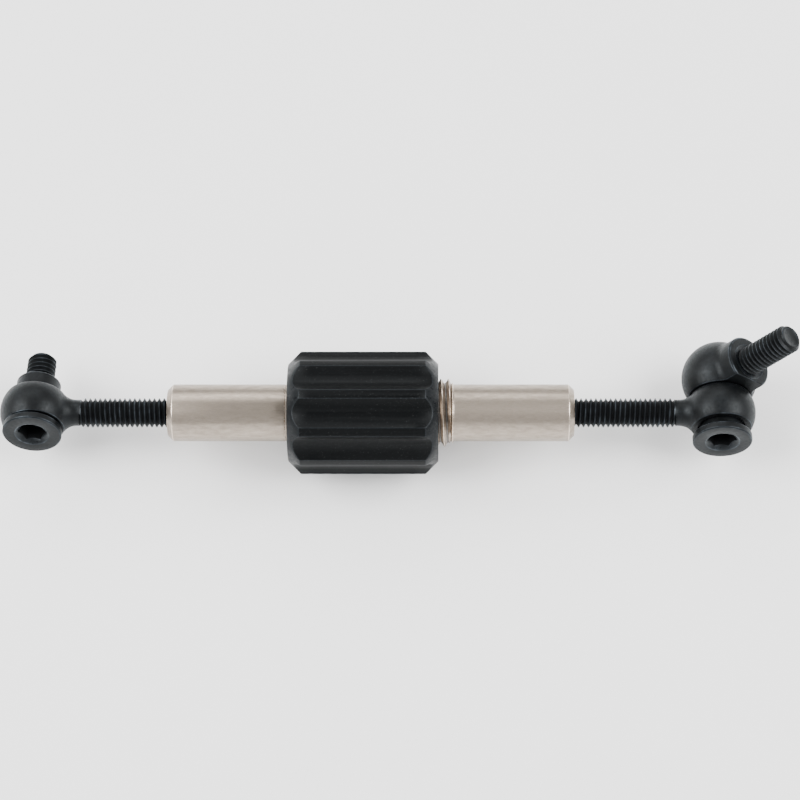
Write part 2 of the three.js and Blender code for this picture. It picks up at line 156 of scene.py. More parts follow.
# Fine shape
COLUMNS = 96  # steps round a turned piece
BORE_COLUMNS = 64
BALL_STEPS = 56
NECK_STEPS = 18
BOSS_STEPS = 12
MERGE = 0.001
SOFT_EDGE = 0.1
BROKEN_EDGE = 0.3
KNOB_SOFT_EDGE = 0.08
WASHER_SOFT_EDGE = 0.05
CORNER_RADIUS = 0.12
CORNER_STEPS = 3
CORNER_SHARE = 0.45  # the most that a rounded corner takes of the line beside it
TIP_DISH = 0.1
TIP_DISH_RIM = 0.06
THREAD_DEPTH = 0.6  # of the pitch
# The groove's root rows carry painted shade through the hollow finish.
THREAD_GROOVE = (  # place of the pitch, height of the thread's depth, and finish
    (0.37, 0.12, HOLLOW_SHADE),
    (0.45, 0.0, HOLLOW_SHADE),
    (0.55, 0.0, HOLLOW_SHADE),
    (0.63, 0.12, BODY),
)
ROD_RUN_IN = 0.8  # turns in which a thread grows to its full height
BOLT_RUN_IN = 0.5
STUD_RUN_IN = 0.4
ROD_THREAD_CREST = 0.12  # width of a crest, of the pitch
BIG_THREAD_CREST = 0.08

# Noise
NOISE_LOW = 0.3
NOISE_HIGH = 0.7

# Floor and camera, in metres
FLOOR_HALF = 1.6
CAMERA_ELEVATION = math.radians(70)
CAMERA_YAW = math.radians(0.73)
CAMERA_DISTANCE = 0.600
CAMERA_LENS = 133.3
VIEW_RIGHT = 0.0074  # from the knob's middle to the middle of the view
VIEW_RAISE = 0.0026

# Light
TENT = (0.0, 0.45), (0.45, 0.80), (0.75, 0.95), (0.98, 0.30)  # brightness from wall to roof
SOFT_BOXES = (  # name, direction, distance, width and height in metres, and power
    ("back_box", (-0.3, 0.8, 0.7), 0.9, 1.1, 0.4, 5),
    ("front_box", (0, -0.97, 0.22), 0.9, 1.2, 0.35, 2.5),
    ("left_box", (-0.75, 0, 0.75), 1.0, 0.7, 0.7, 17),
    ("right_box", (0.75, 0, 0.75), 1.0, 0.7, 0.7, 17),
)


# ---------------------------------------------------------------- places, read from the frame
def joint(name):
    return next(j for j in frame["joints"] if j["name"] == name)


def mount(name):
    return next(m for m in frame["record"]["mounts"] if m["name"] == name)


def placing(origin, along, side):
    """Local millimetres to the frame: local +X goes along, local +Y towards side."""
    x = Vector(along).normalized()
    y = Vector(side)
    y = (y - x * y.dot(x)).normalized()
    turn = Matrix((x, y, x.cross(y))).transposed().to_4x4()
    return Matrix.Translation(origin) @ turn @ Matrix.Scale(MM, 4)


def along_link(node):
    """A node's lowest and highest place along the link, in millimetres from the knob's middle."""
    low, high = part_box(node)
    return (low.x - AXIS.x) / MM, (high.x - AXIS.x) / MM


AXIS = Vector(joint("knob_turn")["pos_m"])
LEFT_EYE = Vector(joint("left_bolt_swivel")["pos_m"])
RIGHT_EYE = Vector(joint("knuckle_swivel")["pos_m"])
LEFT_BOLT = Vector(joint("left_bolt_swivel")["axis"])
RIGHT_BOLT = Vector(joint("knuckle_swivel")["axis"])
STUD = Vector(mount("right_stud_seat")["axis"])
ALONG = Vector((1, 0, 0))
LINK = placing(AXIS, ALONG, (0, 1, 0))

KNOB_LEFT, KNOB_RIGHT = along_link("adjusting_knob")
LEFT_FACE, JOURNAL_END = along_link("left_sleeve")
RIGHT_INNER, RIGHT_FACE = along_link("right_sleeve")
WASHER_LEFT, WASHER_RIGHT = along_link("outer_thrust_washer")
THREAD_END = KNOB_RIGHT + BIG_THREAD_SHOWING


# ---------------------------------------------------------------- mesh helpers
def piece(name, bm, finishes, place, body, node):
    """Puts a bmesh into the scene as a finished piece that stands for a node and rides a body."""
    tidy_mesh(bm)
    mesh = bpy.data.meshes.new(name)
    bm.to_mesh(mesh)
    bm.free()
    mesh.transform(place)
    obj = bpy.data.objects.new(name, mesh)
    bpy.context.scene.collection.objects.link(obj)
    for material in finishes:
        mesh.materials.append(material)
    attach(obj, body)
    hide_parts(node)


def tidy_mesh(bm):
    """Joins the parts of a mesh, and shades it smooth apart from its sharp edges."""
    bmesh.ops.remove_doubles(bm, verts=bm.verts, dist=2 * MERGE)
    bmesh.ops.dissolve_degenerate(bm, edges=bm.edges, dist=MERGE)
    bmesh.ops.recalc_face_normals(bm, faces=bm.faces)
    bm.normal_update()
    for face in bm.faces:
        face.smooth = True
    for edge in bm.edges:
        if len(edge.link_faces) == 2:
            edge.smooth = edge.calc_face_angle(0) < SMOOTH_BELOW


def grid(bm, columns, finishes, seam_shift=0, closed=False):
    """Quads between neighbouring columns of points, the last column meeting the first one
    seam_shift rows further on. Each row has its finish. closed joins a column's two ends."""
    made = [[bm.verts.new(p) for p in column] for column in columns]
    rows = len(made[0])
    strips = []
    for c, here in enumerate(made):
        last = c == len(made) - 1
        there = made[0] if last else made[c + 1]
        shift = seam_shift if last else 0
        strip = []
        for r in range(rows if closed else rows - 1):
            if not closed and not 0 <= r + shift < rows - 1:
                continue
            up = (r + 1) % rows
            face = bm.faces.new((here[r], here[up], there[(up + shift) % rows],
                                 there[(r + shift) % rows]))
            face.material_index = finishes[r]
            strip.append(face)
        strips.append(strip)
    return strips


def spun(profile, steps, turn_about="x"):
    """Columns of a profile of (place, radius) points turned about an axis."""
    columns = []
    for i in range(steps):
        cos, sin = math.cos(TURN * i / steps), math.sin(TURN * i / steps)
        if turn_about == "x":
            columns.append([(p[0], p[1] * cos, p[1] * sin) for p in profile])
        else:
            columns.append([(p[1] * cos, p[0], p[1] * sin) for p in profile])
    return columns


def finish_of(point):
    return point[2] if len(point) > 2 else BODY


def rounded(profile, radius=CORNER_RADIUS):
    """A profile of (place, radius, finish) points that runs clockwise round the metal, with its
    corners rounded, apart from the two ends. The outer corners take the edge finish, which is
    wear with a painted highlight, unless the side before them is a painted-shade hollow."""
    out = [profile[0]]
    for before, corner, after in zip(profile, profile[1:], profile[2:]):
        p, c, n = Vector(before[:2]), Vector(corner[:2]), Vector(after[:2])
        back, on = p - c, n - c
        cut = min(radius, back.length * CORNER_SHARE, on.length * CORNER_SHARE)
        if cut < MERGE or back.angle(on, 0) > BLUNT:
            out.append(corner)
            continue
        outer = back.x * on.y - back.y * on.x > 0
        # An outer corner gets wear with a painted highlight.
        worn_highlit = WORN_EDGE_HIGHLIGHT if outer and finish_of(before) != HOLLOW_SHADE else finish_of(corner)
        start, end = c + back.normalized() * cut, c + on.normalized() * cut
        for i in range(CORNER_STEPS + 1):
            t = i / CORNER_STEPS
            spot = start * (1 - t) ** 2 + c * (2 * t * (1 - t)) + end * t ** 2
            out.append((spot.x, spot.y, worn_highlit if i < CORNER_STEPS else finish_of(corner)))
    out.append(profile[-1])
    return out


def lathe(bm, profile, closed=False):
    """A surface of revolution about X."""
    return grid(bm, spun(profile, COLUMNS), [finish_of(p) for p in profile], closed=closed)


def arc(centre_x, centre_r, radius, start, end, steps):
    points = []
    for i in range(steps + 1):
        angle = start + (end - start) * i / steps
        points.append((centre_x + radius * math.cos(angle), centre_r + radius * math.sin(angle)))
    return points


def thread(bm, start, end, radius, pitch, hand, start_radius, end_radius,
           run_in=ROD_RUN_IN, end_slope=1.0, crest=ROD_THREAD_CREST, phase=0.0):
    """A helical thread along X between two plane ends, as an open tube. It grows out of
    start_radius over run_in turns and is chamfered down to end_radius at its end."""
    depth = THREAD_DEPTH * pitch
    # The crest's edges take the edge finish, wear with a painted highlight, and the groove's roots painted shade.
    shape = [(0.0, 1.0, WORN_EDGE_HIGHLIGHT), (crest / 2, 1.0, BODY), *THREAD_GROOVE, (1 - crest / 2, 1.0, WORN_EDGE_HIGHLIGHT)]
    turns = math.ceil((end - start) / pitch) + 2
    rows = [(t + along, height, finish) for t in range(-1, turns)
            for along, height, finish in shape]
    columns = []
    for i in range(COLUMNS):
        around = i / COLUMNS
        column = []
        for along, height, _ in rows:
            x = min(end, max(start, start + (along + phase + hand * around) * pitch))
            grown = start_radius + (radius - start_radius) * min(1, (x - start) / (run_in * pitch))
            chamfered = end_radius + (end - x) * end_slope
            r = min(radius - depth * (1 - height), grown, chamfered)
            if x == start:
                r = start_radius
            if x == end:
                r = end_radius
            column.append((x, r * math.cos(TURN * around), r * math.sin(TURN * around)))
        columns.append(column)
    grid(bm, columns, [finish for _, _, finish in rows], seam_shift=hand * len(shape))


def tip(bm, x, radius):
    """A turned end face with a shallow dish."""
    rim = radius - BROKEN_EDGE
    # The rim of the end face gets wear with a painted highlight.
    lathe(bm, [(x, radius), (x, rim, WORN_EDGE_HIGHLIGHT), (x - TIP_DISH_RIM, rim - TIP_DISH),
               (x - TIP_DISH, 0.0)])


def in_order(border):
    """The vertices of a closed run of edges, one after the other."""
    edge = border[0]
    vert = edge.verts[0]
    left = set(border)
    run = []
    while edge:
        run.append(vert)
        left.discard(edge)
        vert = edge.other_vert(vert)
        edge = next((e for e in vert.link_edges if e in left), None)
    return run


def cut_flat(bm, place, side, bore):
    """Cuts a turned shape off across Y, with a flat round a bore, and breaks the flat's edge."""
    cut = bmesh.ops.bisect_plane(
        bm, geom=bm.verts[:] + bm.edges[:] + bm.faces[:], dist=1e-5,
        plane_co=(0, place - side * SOFT_EDGE, 0), plane_no=(0, side, 0), clear_outer=True)
    rim = in_order([e for e in cut["geom_cut"]
                    if isinstance(e, bmesh.types.BMEdge) and e.is_boundary])
    border = []
    for before, here, after in zip(rim[-1:] + rim[:-1], rim, rim[1:] + rim[:1]):
        run = (after.co - before.co).normalized()
        inward = Vector((run.z, 0, -run.x))
        if inward.dot(here.co) > 0:
            inward = -inward
        corner = here.co + inward * SOFT_EDGE
        border.append(bm.verts.new((corner.x, place, corner.z)))
    around = list(zip(rim, rim[1:] + rim[:1], border[1:] + border[:1], border))
    # The flat's broken edge gets wear with a painted highlight.
    for corners in around:
        bm.faces.new(corners).material_index = WORN_EDGE_HIGHLIGHT
    lip = [bm.verts.new(column[0]) for column in spun([(place, bore)], BORE_COLUMNS, "y")]
    loop = [bm.edges.new(pair) for pair in zip(lip, lip[1:] + lip[:1])]
    loop += [bm.edges.get(pair) for pair in zip(border, border[1:] + border[:1])]
    bmesh.ops.triangle_fill(bm, use_beauty=True, use_dissolve=False, edges=loop,
                            normal=(0, side, 0))
    bmesh.ops.remove_doubles(bm, verts=bm.verts, dist=MERGE)


# ---------------------------------------------------------------- shapes
def fluted_outline():
    """The knob's outline as (angle, radius, flag), with a soft corner at each side of a land. The flag marks a
    soft corner, which gets wear with a painted highlight.
    """
    centre = FLUTE_FLOOR + FLUTE_RADIUS
    cos_edge = (KNOB_RADIUS**2 + centre**2 - FLUTE_RADIUS**2) / (2 * KNOB_RADIUS * centre)
    edge = math.acos(cos_edge)
    swing = math.asin(KNOB_RADIUS * math.sin(edge) / FLUTE_RADIUS) * FLUTE_SWING
    land = TURN / FLUTE_COUNT - 2 * edge
    out = []
    for f in range(FLUTE_COUNT):
        middle = TURN * (f + 0.5) / FLUTE_COUNT - math.pi / 2 + KNOB_TURN
        for i in range(FLUTE_STEPS + 1):
            angle = swing * (2 * i / FLUTE_STEPS - 1)
            y = centre - FLUTE_RADIUS * math.cos(angle)
            z = FLUTE_RADIUS * math.sin(angle)
            out.append((middle + math.atan2(z, y), math.hypot(y, z), i == FLUTE_STEPS))
        for i in range(LAND_STEPS + 1):
            angle = edge + LAND_CORNER + (land - 2 * LAND_CORNER) * i / LAND_STEPS
            out.append((middle + angle, KNOB_RADIUS, i == LAND_STEPS))
    return out


def knob_shape():
    bm = bmesh.new()
    face_radius = KNOB_RADIUS - KNOB_CHAMFER
    inner_wall = KNOB_LEFT + KNOB_WALL
    soft = KNOB_SOFT_EDGE
    # The bore's mouth and seat edge get wear with a painted highlight, and its walls painted shade.
    bore = [
        (KNOB_RIGHT, KNOB_BORE + KNOB_MOUTH + SOFT_EDGE, WORN_EDGE_HIGHLIGHT),
        (KNOB_RIGHT - SOFT_EDGE, KNOB_BORE + KNOB_MOUTH, HOLLOW_SHADE),
        (KNOB_RIGHT - KNOB_MOUTH, KNOB_BORE, HOLLOW_SHADE),
        (inner_wall, KNOB_BORE, HOLLOW_SHADE),
        (inner_wall, KNOB_BUSH_SEAT, HOLLOW_SHADE),
        (KNOB_LEFT + SOFT_EDGE, KNOB_BUSH_SEAT, WORN_EDGE_HIGHLIGHT),
        (KNOB_LEFT, KNOB_BUSH_SEAT + SOFT_EDGE, BODY),
    ]
    columns = []
    outline = fluted_outline()
    for angle, radius, _ in outline:
        rise = radius - face_radius
        # The end chamfers carry a painted highlight, and their soft edges wear with a painted highlight.
        left = [
            (KNOB_LEFT, face_radius - soft, WORN_EDGE_HIGHLIGHT),
            (KNOB_LEFT + soft, face_radius + soft, CHAMFER_HIGHLIGHT),
            (KNOB_LEFT + rise / 2, face_radius + rise / 2, CHAMFER_HIGHLIGHT),
            (KNOB_LEFT + rise - soft, radius - soft, WORN_EDGE_HIGHLIGHT),
            (KNOB_LEFT + rise + soft, radius, BODY),
        ]
        middle = [(KNOB_LEFT + (KNOB_RIGHT - KNOB_LEFT) * k / KNOB_ROWS, radius, BODY)
                  for k in range(2, KNOB_ROWS - 1)]
        right = [(KNOB_LEFT + KNOB_RIGHT - x, r) for x, r, _ in reversed(left)]
        finishes = [finish for _, _, finish in left + middle]
        finishes += [finish for _, _, finish in reversed(left[:-1])] + [BODY]
        finishes += [finish for _, _, finish in bore]
        profile = left + middle + right + bore
        columns.append([(p[0], p[1] * math.cos(angle), p[1] * math.sin(angle)) for p in profile])
    strips = grid(bm, columns, finishes, closed=True)
    # The land's soft corners outside the chamfers get wear with a painted highlight.
    for (_, _, worn_highlit), strip in zip(outline, strips):
        for face in strip:
            outside = face.calc_center_median().yz.length > face_radius
            if worn_highlit and outside and face.material_index == BODY:
                face.material_index = WORN_EDGE_HIGHLIGHT
    return bm


def left_sleeve_shape():
    bm = bmesh.new()
    bore_end = LEFT_FACE + ROD_BORE_DEPTH
    # The bores carry painted shade, and the outer corners get wear with a painted highlight.
    profile = [
        (bore_end + DRILL_POINT, 0.0, HOLLOW_SHADE),
        (bore_end, ROD_BORE, HOLLOW_SHADE),
        (LEFT_FACE + BROKEN_EDGE, ROD_BORE, HOLLOW_SHADE),
        (LEFT_FACE, ROD_BORE + BROKEN_EDGE),
        (LEFT_FACE, SLEEVE_RADIUS - SLEEVE_CHAMFER),
        (LEFT_FACE + SLEEVE_CHAMFER, SLEEVE_RADIUS),
        (WASHER_LEFT, SLEEVE_RADIUS),
        (WASHER_LEFT, JOURNAL_RADIUS),
        (JOURNAL_END - BROKEN_EDGE, JOURNAL_RADIUS),
        (JOURNAL_END, JOURNAL_RADIUS - BROKEN_EDGE),
        (JOURNAL_END, SCREW_BORE, HOLLOW_SHADE),
        (JOURNAL_END - SCREW_BORE_DEPTH, SCREW_BORE, HOLLOW_SHADE),
        (JOURNAL_END - SCREW_BORE_DEPTH - SCREW_DRILL_POINT, 0.0, HOLLOW_SHADE),
    ]
    lathe(bm, rounded(profile))
    return bm


def right_sleeve_shape():
    bm = bmesh.new()
    ring_start = THREAD_END - RUNOUT_WIDTH
    groove = RUNOUT_RADIUS - BROKEN_EDGE
    # The thread's crests get wear with a painted highlight and its roots painted shade, the bore painted shade.
    thread(bm, RIGHT_INNER, ring_start, BIG_THREAD_RADIUS, BIG_THREAD_PITCH, 1, BIG_THREAD_FOOT,
           groove, end_slope=BIG_THREAD_END_SLOPE, crest=BIG_THREAD_CREST,
           phase=BIG_THREAD_PHASE)
    lathe(bm, rounded([
        (ring_start, groove),
        (ring_start + RUNOUT_RISE, RUNOUT_RADIUS),
        (THREAD_END - RUNOUT_FALL, RUNOUT_RADIUS),
        (THREAD_END, SLEEVE_RADIUS),
        (RIGHT_FACE - SLEEVE_CHAMFER, SLEEVE_RADIUS),
        (RIGHT_FACE, SLEEVE_RADIUS - SLEEVE_CHAMFER),
        (RIGHT_FACE, ROD_BORE + BROKEN_EDGE),
        (RIGHT_FACE - BROKEN_EDGE, ROD_BORE, HOLLOW_SHADE),
        (RIGHT_INNER + INNER_CHAMFER, ROD_BORE),
        (RIGHT_INNER, ROD_BORE + INNER_CHAMFER),
        (RIGHT_INNER, BIG_THREAD_FOOT),
    ]))
    return bm


def eye_rod_shape(hand):
    """Ball eye, filleted neck and thread, along +X from the eye's centre, its bore along Y."""
    bm = bmesh.new()
    fillet_r = NECK_RADIUS + NECK_FILLET
    fillet_x = math.sqrt((EYE_RADIUS + NECK_FILLET) ** 2 - fillet_r**2)
    meet = math.atan2(fillet_r, fillet_x)
    profile = arc(0, 0, EYE_RADIUS, math.pi, meet, BALL_STEPS)
    profile += arc(fillet_x, fillet_r, NECK_FILLET, meet + math.pi, 1.5 * math.pi,
                   NECK_STEPS)[1:]
    profile.append((EYE_TO_THREAD, NECK_RADIUS))
    lathe(bm, profile)
    bmesh.ops.remove_doubles(bm, verts=bm.verts, dist=MERGE)
    half = EYE_WIDTH / 2
    mouth = EYE_BORE + SOFT_EDGE
    for side in (1, -1):
        cut_flat(bm, side * half, side, mouth)
    bore = [(half, mouth), (half - SOFT_EDGE, EYE_BORE), (SOFT_EDGE - half, EYE_BORE),
            (-half, mouth)]
    # The bore's mouths get wear with a painted highlight and its wall painted shade.
    grid(bm, spun(bore, BORE_COLUMNS, "y"), [WORN_EDGE_HIGHLIGHT, HOLLOW_SHADE, WORN_EDGE_HIGHLIGHT])
    bmesh.ops.remove_doubles(bm, verts=bm.verts, dist=MERGE)
    end = EYE_TO_THREAD + ROD_THREAD_LENGTH
    thread(bm, EYE_TO_THREAD, end, ROD_RADIUS, ROD_PITCH, hand, NECK_RADIUS,
           ROD_RADIUS - ROD_TIP_CHAMFER)
    tip(bm, end, ROD_RADIUS - ROD_TIP_CHAMFER)
    return bm


def hex_radius(angle):
    """Distance from the middle of a hexagonal socket to its wall."""
    sixth = TURN / 6
    return SOCKET_FLATS / 2 / math.cos(angle % sixth - sixth / 2)


def shoulder_bolt_shape(head_face):
    """Low head with hex socket, shoulder and short thread, along +X from the eye's centre."""
    bm = bmesh.new()
    under = HEAD_HEIGHT - head_face
    seat = under + SHOULDER_LENGTH
    end = seat + BOLT_THREAD_LENGTH
    lathe(bm, rounded([
        (-head_face, SOCKET_MOUTH + SOCKET_RIM),
        (-head_face, HEAD_RADIUS - HEAD_CHAMFER),
        (HEAD_CHAMFER - head_face, HEAD_RADIUS),
        (under - HEAD_UNDERSIDE_CHAMFER, HEAD_RADIUS),
        (under, HEAD_RADIUS - HEAD_UNDERSIDE_CHAMFER),
        (under, SHOULDER_RADIUS),
        (seat - SHOULDER_CHAMFER, SHOULDER_RADIUS),
        (seat, SHOULDER_RADIUS - SHOULDER_CHAMFER),
        (seat, BOLT_NECK_RADIUS),
        (seat + BOLT_NECK_LENGTH, BOLT_NECK_RADIUS),
    ], HEAD_SOFT_EDGE))
    tip_radius = ROD_RADIUS - STUD_TIP_CHAMFER
    thread(bm, seat + BOLT_NECK_LENGTH, end, ROD_RADIUS, ROD_PITCH, 1, BOLT_NECK_RADIUS,
           tip_radius, run_in=BOLT_RUN_IN)
    tip(bm, end, tip_radius)
    columns = []
    for i in range(COLUMNS):
        turn = TURN * i / COLUMNS
        wall = hex_radius(turn)
        slope = SOCKET_MOUTH - wall
        socket = [
            (0.0, SOCKET_MOUTH + SOCKET_RIM),
            (SOCKET_SOFT_EDGE, SOCKET_MOUTH - SOCKET_SOFT_EDGE),
            (slope - HEX_SOFT_EDGE, wall + HEX_SOFT_EDGE),
            (slope + HEX_LIP, wall),
            (SOCKET_DEPTH, wall),
            (SOCKET_DEPTH, SOCKET_DRILL_RADIUS),
            (SOCKET_DEPTH + SOCKET_DRILL_POINT, 0.0),
        ]
        columns.append([(x - head_face, r * math.cos(turn), r * math.sin(turn))
                        for x, r in socket])
    # The socket's rim edges get wear with a painted highlight, its cone a painted highlight, and its hex and drill
    # painted shade.
    grid(bm, columns, [WORN_EDGE_HIGHLIGHT, CHAMFER_HIGHLIGHT, WORN_EDGE_HIGHLIGHT, HOLLOW_SHADE, HOLLOW_SHADE, HOLLOW_SHADE])
    return bm


def knuckle_shape():
    """Ball, boss and stud along +X from the ball's centre. The bolt's direction is +Y."""
    bm = bmesh.new()
    fillet_r = BOSS_RADIUS + BOSS_FILLET
    fillet_x = math.sqrt((KNUCKLE_RADIUS + BOSS_FILLET) ** 2 - fillet_r**2)
    meet = math.atan2(fillet_r, fillet_x)
    start = BOSS_FACE - STUD_RELIEF_DEPTH
    foot = ROD_RADIUS - STUD_FOOT_STEP
    # The stud relief's rim gets wear with a painted highlight and its cone a painted highlight.
    boss = rounded([
        (fillet_x, BOSS_RADIUS),
        (BOSS_FACE - BROKEN_EDGE, BOSS_RADIUS),
        (BOSS_FACE, BOSS_RADIUS - BROKEN_EDGE),
        (BOSS_FACE, STUD_RELIEF + STUD_RELIEF_RIM, WORN_EDGE_HIGHLIGHT),
        (BOSS_FACE - STUD_RELIEF_LIP, STUD_RELIEF, CHAMFER_HIGHLIGHT),
        (start, foot, CHAMFER_HIGHLIGHT),
    ])
    profile = arc(0, 0, KNUCKLE_RADIUS, math.pi, meet, BALL_STEPS)
    profile += arc(fillet_x, fillet_r, BOSS_FILLET, meet + math.pi, 1.5 * math.pi,
                   BOSS_STEPS)[1:-1]
    lathe(bm, profile + boss)
    tip_radius = ROD_RADIUS - STUD_TIP_CHAMFER
    thread(bm, start, STUD_TIP, ROD_RADIUS, ROD_PITCH, 1, foot, tip_radius,
           run_in=STUD_RUN_IN)
    tip(bm, STUD_TIP, tip_radius)
    bmesh.ops.remove_doubles(bm, verts=bm.verts, dist=MERGE)
    cut_flat(bm, -KNUCKLE_SEAT, -1, EYE_BORE)
    well_floor = KNUCKLE_WELL - KNUCKLE_SEAT
    well = [
        (-KNUCKLE_SEAT, EYE_BORE),
        (well_floor, EYE_BORE),
        (well_floor, KNUCKLE_BORE),
        (KNUCKLE_BORE_END, KNUCKLE_BORE),
        (KNUCKLE_BORE_END + KNUCKLE_DRILL_POINT, 0.0),
    ]
    # The well and bore carry painted shade.
    grid(bm, spun(well, BORE_COLUMNS, "y"), [HOLLOW_SHADE] * (len(well) - 1))
    bmesh.ops.remove_doubles(bm, verts=bm.verts, dist=MERGE)
    return bm


def washer_shape():
    bm = bmesh.new()
    soft = WASHER_SOFT_EDGE
    # The washer's soft edges get wear with a painted highlight.
    lathe(bm, [
        (WASHER_LEFT, WASHER_BORE),
        (WASHER_LEFT, WASHER_RADIUS - soft, WORN_EDGE_HIGHLIGHT),
        (WASHER_LEFT + soft, WASHER_RADIUS),
        (WASHER_RIGHT - soft, WASHER_RADIUS, WORN_EDGE_HIGHLIGHT),
        (WASHER_RIGHT, WASHER_RADIUS - soft),
        (WASHER_RIGHT, WASHER_BORE),
    ], closed=True)
    return bm


# ---------------------------------------------------------------- materials
class Nodes:
    """Short hand for building a node material."""

    def __init__(self, name):
        self.material = bpy.data.materials.new(name)
        self.material.use_nodes = True
        self.tree = self.material.node_tree
        self.shader = self.tree.nodes["Principled BSDF"]

    def add(self, kind, **values):
        node = self.tree.nodes.new(kind)
        for key, value in values.items():
            node.inputs[key].default_value = value
        return node

    def noise(self, scale, stretch=(1, 1, 1), detail=4.0, roughness=0.55):
        """Noise over object coordinates in millimetres, with scale lumps to the millimetre."""
        coords = self.add("ShaderNodeTexCoord")
        mapping = self.add("ShaderNodeMapping", Scale=[s / MM for s in stretch])
        node = self.add("ShaderNodeTexNoise", Scale=scale, Detail=detail, Roughness=roughness)
        self.tree.links.new(coords.outputs["Object"], mapping.inputs["Vector"])
        self.tree.links.new(mapping.outputs["Vector"], node.inputs["Vector"])
        return node.outputs["Fac"]

    def ramp(self, source, *stops):
        """Colour stops of (place, colour) over a value."""
        node = self.add("ShaderNodeValToRGB")
        elements = node.color_ramp.elements
        while len(elements) < len(stops):
            elements.new(0.5)
        for element, (position, colour) in zip(elements, stops):
            element.position = position
            element.color = (*colour, 1)
        self.tree.links.new(source, node.inputs["Fac"])
        return node.outputs["Color"]

    def spread(self, source, low, high):
        """Widens a noise's usual range to a range from low to high."""
        node = self.add("ShaderNodeMapRange")
        node.inputs["From Min"].default_value = NOISE_LOW
        node.inputs["From Max"].default_value = NOISE_HIGH
        node.inputs["To Min"].default_value = low
        node.inputs["To Max"].default_value = high
        self.tree.links.new(source, node.inputs["Value"])
        return node.outputs["Result"]

    def bump(self, source, strength, depth, under=None):
        """Bump of a depth in millimetres, on top of another bump."""
        node = self.add("ShaderNodeBump", Strength=strength, Distance=depth * MM)
        self.tree.links.new(source, node.inputs["Height"])
        if under is not None:
            self.tree.links.new(under, node.inputs["Normal"])
        return node.outputs["Normal"]

    def finish(self, colour, roughness, normal, metallic, specular=0.5, tint=(1, 1, 1)):
        for name, source in (("Base Color", colour), ("Roughness", roughness),
                             ("Normal", normal)):
            self.tree.links.new(source, self.shader.inputs[name])
        self.shader.inputs["Metallic"].default_value = metallic
        self.shader.inputs["Specular IOR Level"].default_value = specular
        self.shader.inputs["Specular Tint"].default_value = (*tint, 1)
        return self.material


def grey(value, warmth=0.0):
    """A near-neutral colour, cooler for a negative warmth."""
    return value * (1 + warmth), value, value * (1 - warmth)


def black_oxide(name, dark, mid, light, roughness, metallic=0.4):
    """Blotchy chemical black over faint turning marks."""
    n = Nodes(name)
    blotch = n.noise(0.36, detail=8.0, roughness=0.68)
    marks = n.noise(1.6, stretch=(1.0, 1.0, 3.0), detail=5.0)
    grain = n.noise(4.5, detail=3.0)
    colour = n.ramp(blotch, (0.30, grey(dark, -0.14)), (0.50, grey(mid, -0.14)),
                    (0.68, grey(light, -0.16)))
    rough = n.spread(marks, roughness - 0.10, roughness + 0.12)
    return n.finish(colour, rough, n.bump(grain, 0.3, 0.02, n.bump(marks, 0.4, 0.03)),
                    metallic, 0.27, COOL)


def anodised(name, dark, light, roughness):
    """Satin black with fine lengthwise drawing lines and pale specks of dust."""
    n = Nodes(name)
    lines = n.noise(1.0, stretch=(0.02, 1.3, 1.3), detail=5.0)
    speck = n.noise(6.0, detail=2.0)
    colour = n.ramp(speck, (0.45, grey(dark, -0.16)), (0.68, grey(light, -0.16)),
                    (0.76, grey(0.07)))
    rough = n.spread(lines, roughness - 0.12, roughness + 0.14)
    return n.finish(colour, rough, n.bump(speck, 0.12, 0.01, n.bump(lines, 0.8, 0.045)), 0.1,
                    0.135, COOL)


def turned_steel(name, dark, light, roughness, warmth=0.17):
    """Warm stainless steel with turning rings, lengthwise rubbing and cloudy stains."""
    n = Nodes(name)
    rings = n.noise(1.0, stretch=(12.0, 0.2, 0.2), detail=3.0)
    rubbed = n.noise(1.0, stretch=(0.45, 1.5, 1.5), detail=7.0, roughness=0.72)
    colour = n.ramp(rubbed, (0.36, grey(dark, warmth)), (0.66, grey(light, warmth)))
    rough = n.spread(rubbed, roughness + 0.08, roughness - 0.05)
    return n.finish(colour, rough, n.bump(rings, 0.25, 0.012, n.bump(rubbed, 0.15, 0.02)), 1.0)


def plain_metal(name, low, high, roughness):
    n = Nodes(name)
    cloud = n.noise(0.6)
    grain = n.noise(4.0, detail=3.0)
    return n.finish(n.ramp(cloud, (0.3, low), (0.7, high)),
                    n.spread(grain, roughness - 0.06, roughness + 0.06),
                    n.bump(grain, 0.15, 0.01), 1.0)


COOL = (0.93, 0.98, 1.0)  # the tint of a black finish's gloss
# Each set is body, worn edges with a painted highlight, hollows with painted shade, and chamfers and cones with a
# painted highlight.
BLACK = (
    black_oxide("black_oxide", 0.0018, 0.0036, 0.0085, 0.44),
    black_oxide("black_oxide_worn_edge_painted_highlight", 0.010, 0.028, 0.080, 0.36, 0.8),
    black_oxide("black_oxide_hollow_painted_shade", 0.001, 0.002, 0.004, 0.60),
    black_oxide("black_oxide_chamfer_painted_highlight", 0.006, 0.012, 0.026, 0.34),
)
ANODISED = (
    anodised("black_anodised", 0.0008, 0.0022, 0.42),
    anodised("black_anodised_worn_edge_painted_highlight", 0.008, 0.022, 0.38),
    anodised("black_anodised_hollow_painted_shade", 0.001, 0.002, 0.60),
    anodised("black_anodised_chamfer_painted_highlight", 0.0050, 0.0080, 0.34),
)
# Body, worn edges with a painted highlight, and bores with painted shade.
STEEL = (
    turned_steel("turned_steel", 0.24, 0.35, 0.34),
    turned_steel("turned_steel_worn_edge_painted_highlight", 0.50, 0.62, 0.26),
    turned_steel("turned_steel_hollow_painted_shade", 0.12, 0.18, 0.40, 0.07),
)
BRONZE = plain_metal("plain_bronze", (0.38, 0.23, 0.09), (0.50, 0.31, 0.13), 0.34)
SPRING = plain_metal("spring_steel", (0.16, 0.17, 0.19), (0.24, 0.25, 0.28), 0.32)
ZINC = plain_metal("zinc_plated_steel", (0.42, 0.44, 0.47), (0.52, 0.54, 0.57), 0.34)


